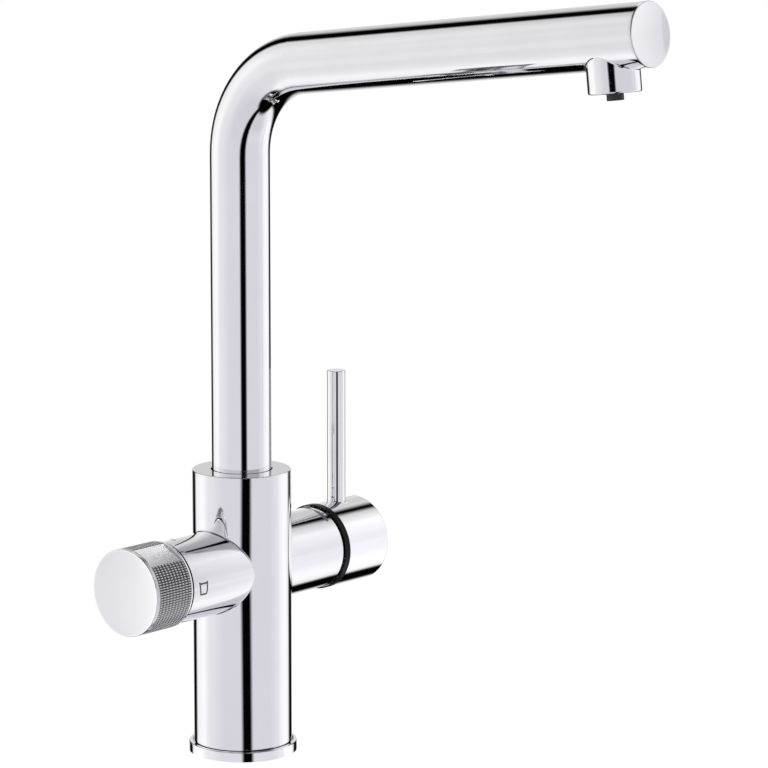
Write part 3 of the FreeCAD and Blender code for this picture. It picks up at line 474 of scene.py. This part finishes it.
# Filter knob, knurl: a grid of four-sided pyramids, as cuts along the knob and rings round it leave them.
# They are longer along the knob than round it.
THUMB_MARGIN = 1.6
KNURL_START = KNURL_REAR + 0.0002
KNURL_LENGTH = 0.0205
HALF_DIAGONAL = math.sqrt(0.5)
knurl = bpy.data.node_groups.new("knurl_teeth", "GeometryNodeTree")
inputs = {}
for label, kind in (("Rows", "NodeSocketInt"), ("Teeth along", "NodeSocketInt"),
                    ("Root radius", "NodeSocketFloat"), ("Height", "NodeSocketFloat"),
                    ("Tip share", "NodeSocketFloat"), ("Start angle", "NodeSocketFloat"),
                    ("Turn", "NodeSocketFloat"), ("Rear", "NodeSocketFloat"), ("Length", "NodeSocketFloat"),
                    ("Axis height", "NodeSocketFloat"), ("Cover along", "NodeSocketFloat"),
                    ("Cover round", "NodeSocketFloat"), ("Plating", "NodeSocketMaterial")):
    inputs[label] = knurl.interface.new_socket(name=label, in_out="INPUT", socket_type=kind).identifier
knurl.interface.new_socket(name="Teeth", in_out="OUTPUT", socket_type="NodeSocketGeometry")
size = knurl.nodes.new("NodeGroupInput").outputs
result = knurl.nodes.new("NodeGroupOutput")


def sum_of(operation, a, b=None):
    """One step of arithmetic on sockets or numbers in the knurl's tree."""
    step = knurl.nodes.new("ShaderNodeMath")
    step.operation = operation
    for socket, value in zip(step.inputs, (a, b)):
        if isinstance(value, (int, float)):
            socket.default_value = value
        elif value is not None:
            knurl.links.new(value, socket)
    return step.outputs[0]


def joined(kind, links):
    """The output of a node in the knurl's tree, with its inputs linked or set by name."""
    node = knurl.nodes.new(kind)
    for label, value in links.items():
        if isinstance(value, bpy.types.NodeSocket):
            knurl.links.new(value, node.inputs[label])
        else:
            node.inputs[label].default_value = value
    return node.outputs[0]


index = knurl.nodes.new("GeometryNodeInputIndex").outputs[0]
row = sum_of("FLOOR", sum_of("DIVIDE", sum_of("ADD", index, 0.5), size["Teeth along"]))
tooth_step = sum_of("SUBTRACT", index, sum_of("MULTIPLY", row, size["Teeth along"]))
row_turn = sum_of("DIVIDE", size["Turn"], sum_of("SUBTRACT", size["Rows"], 1.0))
angle = sum_of("ADD", size["Start angle"], sum_of("MULTIPLY", row, row_turn))
pitch = sum_of("DIVIDE", size["Length"], size["Teeth along"])
along = sum_of("SUBTRACT", size["Rear"], sum_of("MULTIPLY", pitch, sum_of("ADD", tooth_step, 0.5)))
outward = sum_of("MULTIPLY", size["Root radius"], sum_of("COSINE", angle))
upward = sum_of("MULTIPLY", size["Root radius"], sum_of("SINE", angle))
seat = joined("ShaderNodeCombineXYZ", {"X": along, "Y": sum_of("MULTIPLY", outward, -1.0),
                                       "Z": sum_of("ADD", size["Axis height"], upward)})
seats = joined("GeometryNodePoints", {"Count": sum_of("MULTIPLY", size["Rows"], size["Teeth along"]),
                                      "Position": seat})
tip = sum_of("MULTIPLY", size["Tip share"], HALF_DIAGONAL)
pyramid = joined("GeometryNodeMeshCone", {"Vertices": 4, "Side Segments": 1, "Fill Segments": 1, "Depth": 1.0,
                                          "Radius Bottom": HALF_DIAGONAL, "Radius Top": tip})
tooth = joined("GeometryNodeTransform", {"Geometry": pyramid, "Rotation": (0.0, 0.0, math.pi / 4)})
across = sum_of("MULTIPLY", row_turn, size["Root radius"])
spread = joined("ShaderNodeCombineXYZ", {"X": sum_of("MULTIPLY", pitch, size["Cover along"]),
                                         "Y": sum_of("MULTIPLY", across, size["Cover round"]),
                                         "Z": size["Height"]})
lean = joined("ShaderNodeCombineXYZ", {"X": sum_of("SUBTRACT", math.pi / 2, angle)})
upright = joined("FunctionNodeEulerToRotation", {"Euler": lean})
stood = joined("GeometryNodeInstanceOnPoints", {"Points": seats, "Instance": tooth, "Rotation": upright,
                                                "Scale": spread})
real = joined("GeometryNodeRealizeInstances", {"Geometry": stood})
plated = joined("GeometryNodeSetMaterial", {"Geometry": real, "Material": size["Plating"]})
knurl.links.new(plated, result.inputs["Teeth"])

teeth = bpy.data.objects.new("knob_knurl_teeth", bpy.data.meshes.new("knob_knurl_teeth"))
bpy.context.scene.collection.objects.link(teeth)
cutter = teeth.modifiers.new("knurl", "NODES")
cutter.node_group = knurl
for label, value in (("Rows", 95), ("Teeth along", 10), ("Root radius", ROOT_R), ("Height", GRIP_R - ROOT_R),
                     ("Tip share", 0.4), ("Start angle", math.radians(THUMB_TO + THUMB_MARGIN)),
                     ("Turn", math.radians(360.0 - THUMB_TO + THUMB_FROM - 2 * THUMB_MARGIN)),
                     ("Rear", KNURL_START), ("Length", KNURL_LENGTH), ("Axis height", HUB_Z),
                     ("Cover along", 1.3), ("Cover round", 1.05), ("Plating", knurled)):
    cutter[inputs[label]] = value
shaped = teeth.evaluated_get(bpy.context.evaluated_depsgraph_get())
teeth_mesh = bpy.data.meshes.new_from_object(shaped)
teeth.modifiers.remove(cutter)
teeth.data = teeth_mesh
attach(teeth, "filter_knob")

# Filter knob, front disc: turned and chromed, with a plug that is pressed into the barrel. Its face is dished
# and has a fine raised lip, painted paler as a painted highlight, and its plain rim, painted darker
# as painted shade, ends the knurl.
KNOB_FRONT = -0.0783
FRONT_EDGE = 0.0004
FRONT_DISH = 0.001
FRONT_LIP = (0.0005, 0.00009)
FRONT_PLUG_R = 0.01695
FRONT_PLUG_BORE_R = 0.01495
FRONT_PLUG_END = -0.0715
# Painted shade: the rim's plate is a darker copy of the chrome.
painted_shade_rim_chrome, tree, shader, place = surface("painted_shade_rim_chrome", metal=1.0)
mottle(tree, shader, place, scale=300.0, colours=((0.64, 0.635, 0.645), (0.68, 0.675, 0.685)),
       roughness=(0.1, 0.14))
front_disc = dished_disc(KNOB_FRONT, KNOB_SEAT, GRIP_R, FRONT_EDGE, FRONT_DISH, FRONT_LIP)
front_plug = [(KNOB_SEAT, FRONT_PLUG_R), (FRONT_PLUG_END, FRONT_PLUG_R), (FRONT_PLUG_END, FRONT_PLUG_BORE_R),
              (KNOB_SEAT, FRONT_PLUG_BORE_R), (KNOB_SEAT, 0.0)]
bm = bmesh.new()
rows = turned_piece(bm, front_disc + front_plug, on_hub)
lip_row = rows[DISC_STEPS]
rim_row = rows[len(front_disc) - 2]
front_finishes = [chrome, painted_shade_rim_chrome, painted_light_chrome]
# Painted highlight on the lip in the paler chrome, painted shade on the rim in the darker one.
for faces, finish in ((rim_row, painted_shade_rim_chrome), (lip_row, painted_light_chrome)):
    for face in faces:
        face.material_index = front_finishes.index(finish)
front = finished(bm, "knob_front_disc", *front_finishes)
front.data.set_sharp_from_angle(angle=TURNED_SHARP)
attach(front, "filter_knob")
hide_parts("knob_cap")

# Signs on the left hub: a drinking glass in outline facing the spout's side, and an index mark on top,
# both etched and filled with grey.
GLASS = [(-0.0495, 8.4), (-0.0488, -9.0), (-0.0451, -9.0), (-0.0447, -5.5), (-0.0445, 8.4)]
WATER = [(-0.0494, 5.9), (-0.0446, 5.9)]
SIGN_LINE = 0.00085
SIGN_STEPS = 10
INDEX = [(-0.0465, 86.5), (-0.0465, 95.0)]
INDEX_LINE = 0.0011
INDEX_STEPS = 16
sign_grey = ink("sign_grey_ink", (0.07, 0.07, 0.074), (0.11, 0.11, 0.115))
bm = bmesh.new()
for line in (GLASS, WATER):
    printed_strip(bm, line, lambda share: SIGN_LINE, SIGN_STEPS)
sign = finished(bm, "glass_sign", sign_grey)
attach(sign, "column")

bm = bmesh.new()
printed_strip(bm, INDEX, lambda share: INDEX_LINE, INDEX_STEPS)
mark = finished(bm, "index_mark", sign_grey)
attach(mark, "column")

# Floor: pale matt sheet under the tap. Close to the base it takes the tap's soft shadow,
# further out it runs into the white background.
FLOOR_R = 0.7
FLOOR_Z = -0.0003
FLOOR_SIDES = 96
bm = bmesh.new()
bmesh.ops.create_circle(bm, cap_ends=True, segments=FLOOR_SIDES, radius=FLOOR_R)
for corner in bm.verts:
    corner.co.z = FLOOR_Z
white_floor = bpy.data.materials.new("white_floor")
white_floor.use_nodes = True
tree = white_floor.node_tree
tree.nodes.clear()


def floor_node(kind, **values):
    """A node of the floor's tree with its inputs set by name."""
    node = tree.nodes.new(kind)
    for label, value in values.items():
        node.inputs[label.replace("_", " ")].default_value = value
    return node


glow = floor_node("ShaderNodeEmission", Strength=0.84)
matt = floor_node("ShaderNodeBsdfDiffuse", Color=(0.55, 0.55, 0.55, 1.0))
near = floor_node("ShaderNodeAddShader")
far = floor_node("ShaderNodeEmission", Strength=1.0)
clear = floor_node("ShaderNodeBsdfTransparent")
reach = floor_node("ShaderNodeVectorMath")
reach.operation = "LENGTH"
fade = floor_node("ShaderNodeMapRange", From_Min=0.12, From_Max=0.4)
coords = floor_node("ShaderNodeTexCoord")
side = floor_node("ShaderNodeNewGeometry")
runs_out = floor_node("ShaderNodeMixShader")
one_sided = floor_node("ShaderNodeMixShader")
out = floor_node("ShaderNodeOutputMaterial")
for output, socket in ((matt.outputs[0], near.inputs[0]), (glow.outputs[0], near.inputs[1]),
                       (coords.outputs["Object"], reach.inputs[0]),
                       (reach.outputs["Value"], fade.inputs["Value"]),
                       (fade.outputs[0], runs_out.inputs[0]), (near.outputs[0], runs_out.inputs[1]),
                       (far.outputs[0], runs_out.inputs[2]),
                       (side.outputs["Backfacing"], one_sided.inputs[0]),
                       (runs_out.outputs[0], one_sided.inputs[1]), (clear.outputs[0], one_sided.inputs[2]),
                       (one_sided.outputs[0], out.inputs["Surface"])):
    tree.links.new(output, socket)
floor = finished(bm, "studio_floor", white_floor)
floor.visible_glossy = False

# Studio: a white tent with a dark top, and dark flags that give the chrome its stripes: one beside the
# camera, one to each side behind the tap, a low one behind it and one underfoot. A bright strip hangs high
# at the back, and a hood and two cards dim the front and the right. The lens itself sees plain white.
TENT_FRONT = math.radians(45.42)
TENT_LIGHT = 1.1
FLAG_LEAK = 0.0015
studio = bpy.data.worlds.new("studio")
bpy.context.scene.world = studio
studio.use_nodes = True
tree = studio.node_tree
tree.nodes.clear()


def tent(kind, operation=None, *links):
    """A node of the tent's tree, with its first inputs linked or set in order."""
    node = tree.nodes.new(kind)
    if operation:
        node.operation = operation
    for socket, value in zip(node.inputs, links):
        if isinstance(value, bpy.types.NodeSocket):
            tree.links.new(value, socket)
        elif value is not None:
            socket.default_value = value
    return node


def calc(operation, *values):
    """One step of arithmetic in the tent's tree."""
    return tent("ShaderNodeMath", operation, *values).outputs[0]


def both(a, b):
    """The product of two shares."""
    return calc("MULTIPLY", a, b)


def rest(a):
    """What a share leaves of the whole."""
    return calc("SUBTRACT", 1.0, a)


def ease(value, low, high):
    """0 below low and 1 above high, with a soft run between."""
    step = tent("ShaderNodeMapRange", None, value)
    step.interpolation_type = "SMOOTHSTEP"
    step.inputs["From Min"].default_value = low
    step.inputs["From Max"].default_value = high
    return step.outputs["Result"]


def between(value, start, full, fading, end):
    """1 from full to fading and 0 before start and after end."""
    return both(ease(value, start, full), rest(ease(value, fading, end)))


def mixed(factor, a, b, way="MIX"):
    """Two colours mixed by a share, or multiplied."""
    mix = tent("ShaderNodeMix", None, factor)
    mix.data_type = "RGBA"
    mix.blend_type = way
    tree.links.new(a, mix.inputs[MIX_A])
    tree.links.new(b, mix.inputs[MIX_B])
    return mix.outputs[MIX_RESULT]


def wall(stops, factor):
    """A colour ramp from (place, brightness, blueness) stops. Blueness takes a quarter from red and green."""
    ramp = tent("ShaderNodeValToRGB", None, factor)
    elements = ramp.color_ramp.elements
    while len(elements) > 1:
        elements.remove(elements[-1])
    for k, (at, level, blue) in enumerate(stops):
        stop = elements[0] if k == 0 else elements.new(at)
        stop.position = at
        warm = level * (1 - 0.25 * blue)
        stop.color = (warm, warm, level * (1 + blue), 1.0)
    return ramp.outputs["Color"]


# Places in the tent: degrees round from its front, to the right in the picture, and degrees up
ray = tent("ShaderNodeTexCoord").outputs["Generated"]
to_right = tent("ShaderNodeVectorMath", "DOT_PRODUCT", ray,
                (math.cos(TENT_FRONT), -math.sin(TENT_FRONT), 0.0)).outputs["Value"]
to_front = tent("ShaderNodeVectorMath", "DOT_PRODUCT", ray,
                (-math.sin(TENT_FRONT), -math.cos(TENT_FRONT), 0.0)).outputs["Value"]
turned = calc("MULTIPLY", calc("ARCTAN2", to_right, to_front), 180.0 / math.pi)
parts = tent("ShaderNodeSeparateXYZ", None, ray).outputs
raised = calc("MULTIPLY", calc("ARCSINE", parts["Z"]), 180.0 / math.pi)
off_front = calc("ABSOLUTE", turned)
off_level = calc("ABSOLUTE", raised)


def rising(*stops):
    """A wall that changes with height only, from (degrees up, brightness) stops."""
    factor = calc("MULTIPLY_ADD", raised, 1 / 180.0, 0.5)
    return wall([(at / 180 + 0.5, level, 0) for at, level in stops], factor)


# The tent's cloth
BLUE = 0.055
around = wall([(at / 360 + 0.5, level, blue) for at, level, blue in (
    (-180, 0.95, 0), (-132, 0.9, 0), (-120, 0.94, 0), (-110, 0.99, 0), (-102, 0.97, 0), (-92, 0.85, 0.01),
    (-84, 0.785, 0.02), (-75, 0.785, 0.03), (-62, 0.74, 0.04), (-46, 0.69, BLUE), (66, 0.69, BLUE),
    (80, 0.75, 0.05), (91, 0.84, 0.04), (100, 0.92, 0.03), (108, 0.97, 0.01), (119, 0.99, 0), (126, 0.9, 0),
    (180, 0.95, 0))], calc("MULTIPLY_ADD", turned, 1 / 360.0, 0.5))
left_side = rising((-57, 0.96), (-46, 0.94), (-36, 0.94), (-22, 0.94), (-14, 1.0), (-5, 1.0), (2, 0.95),
                   (18, 0.93), (28, 0.84), (37, 0.79), (43, 0.73), (50, 0.5), (58, 0.12))
right_side = rising((-44, 0.9), (-38, 1.0), (-30, 1.04), (-20, 1.0), (-2, 1.0), (3, 0.95), (10, 0.95),
                    (18, 0.98), (33, 0.98), (39, 0.76), (44, 0.62), (50, 0.45), (58, 0.12))
back = rising((-26, 0.66), (-20, 0.76), (-6, 0.92), (0, 1.0), (6, 0.98), (9, 0.8), (11, 0.64), (14, 0.64),
              (17, 0.76), (24, 0.63), (36, 0.63), (46, 0.56), (49, 3.2), (63, 3.2), (67, 0.12))
sides = mixed(ease(turned, -60.0, 60.0), left_side, right_side)
cloth = mixed(1.0, around, mixed(ease(off_front, 146.0, 164.0), sides, back), "MULTIPLY")

# The flags
to_left = calc("MULTIPLY", turned, -1.0)
inner_left = calc("ADD", to_left, calc("MULTIPLY", off_level, 0.1))
left_flag = both(ease(inner_left, 134.0, 145.0), rest(ease(to_left, 157.0, 173.0)))
inner_right = calc("ADD", turned, calc("MULTIPLY", off_level, 0.085))
outer_right = calc("ADD", turned, calc("MULTIPLY", raised, 0.233))
right_flag = both(ease(inner_right, 129.5, 142.5), rest(ease(outer_right, 152.3, 166.3)))
low_flag = both(rest(ease(raised, -43.0, -26.0)), ease(off_front, 127.0, 143.0))
outlet_band = between(raised, -3.0, 1.0, 8.0, 11.0)
front_place = calc("MULTIPLY_ADD", outlet_band, -25.0, 8.0)
off_flag = calc("ABSOLUTE", calc("SUBTRACT", turned, front_place))
front_flag = rest(ease(calc("MULTIPLY_ADD", outlet_band, -3.0, off_flag), 7.0, 15.5))
foot_flag = rest(ease(raised, -72.0, -64.0))

# The hood over the front, a dark card on its right half, and a pale grey card for the left hub
in_front = rest(ease(off_front, 62.0, 82.0))
hood = both(ease(raised, 6.0, 14.0), in_front)
card = both(between(raised, 8.0, 16.0, 34.0, 40.0), both(ease(turned, 12.0, 24.0), in_front))
off_column = calc("ABSOLUTE", calc("ADD", raised, 13.5))
past_column = calc("MULTIPLY_ADD", ease(off_column, 2.3, 3.8), 0.6, 0.4)
card_place = both(past_column, rest(ease(parts["Y"], -0.5, -0.3)))
grey_card = both(card_place, between(parts["X"], 0.6, 0.65, 0.707, 0.723))
open_share = 1.0
for screen, taken in ((left_flag, 1.0), (right_flag, 1.0), (low_flag, 1.0), (front_flag, 1.0),
                      (foot_flag, 1.0), (hood, 0.15), (card, 0.8), (grey_card, 0.13)):
    open_share = both(open_share, rest(both(screen, taken)))
flagged = mixed(1.0, cloth, calc("MAXIMUM", open_share, FLAG_LEAK), "MULTIPLY")

tent_light = tent("ShaderNodeBackground", None, flagged, TENT_LIGHT)
plain_white = tent("ShaderNodeBackground", None, (1.0, 1.0, 1.0, 1.0), 1.0)
seen = tent("ShaderNodeMixShader")
tree.links.new(tent("ShaderNodeLightPath").outputs["Is Camera Ray"], seen.inputs[0])
tree.links.new(tent_light.outputs[0], seen.inputs[1])
tree.links.new(plain_white.outputs[0], seen.inputs[2])
tree.links.new(seen.outputs[0], tent("ShaderNodeOutputWorld").inputs["Surface"])
bpy.context.scene.view_settings.view_transform = "Standard"

# Camera: long lens, in front and to the left of the tap and a little above it.
CAMERA_PLACE = (-1.2176, -1.1223, 0.464)
CAMERA_TILT = (80.095, -0.075, -49.621)
lens = bpy.data.cameras.new("camera")
lens.lens = 169.11
lens.sensor_width = 36.0
camera = bpy.data.objects.new("camera", lens)
camera.location = CAMERA_PLACE
camera.rotation_euler = [math.radians(degrees) for degrees in CAMERA_TILT]
bpy.context.scene.collection.objects.link(camera)
bpy.context.scene.camera = camera
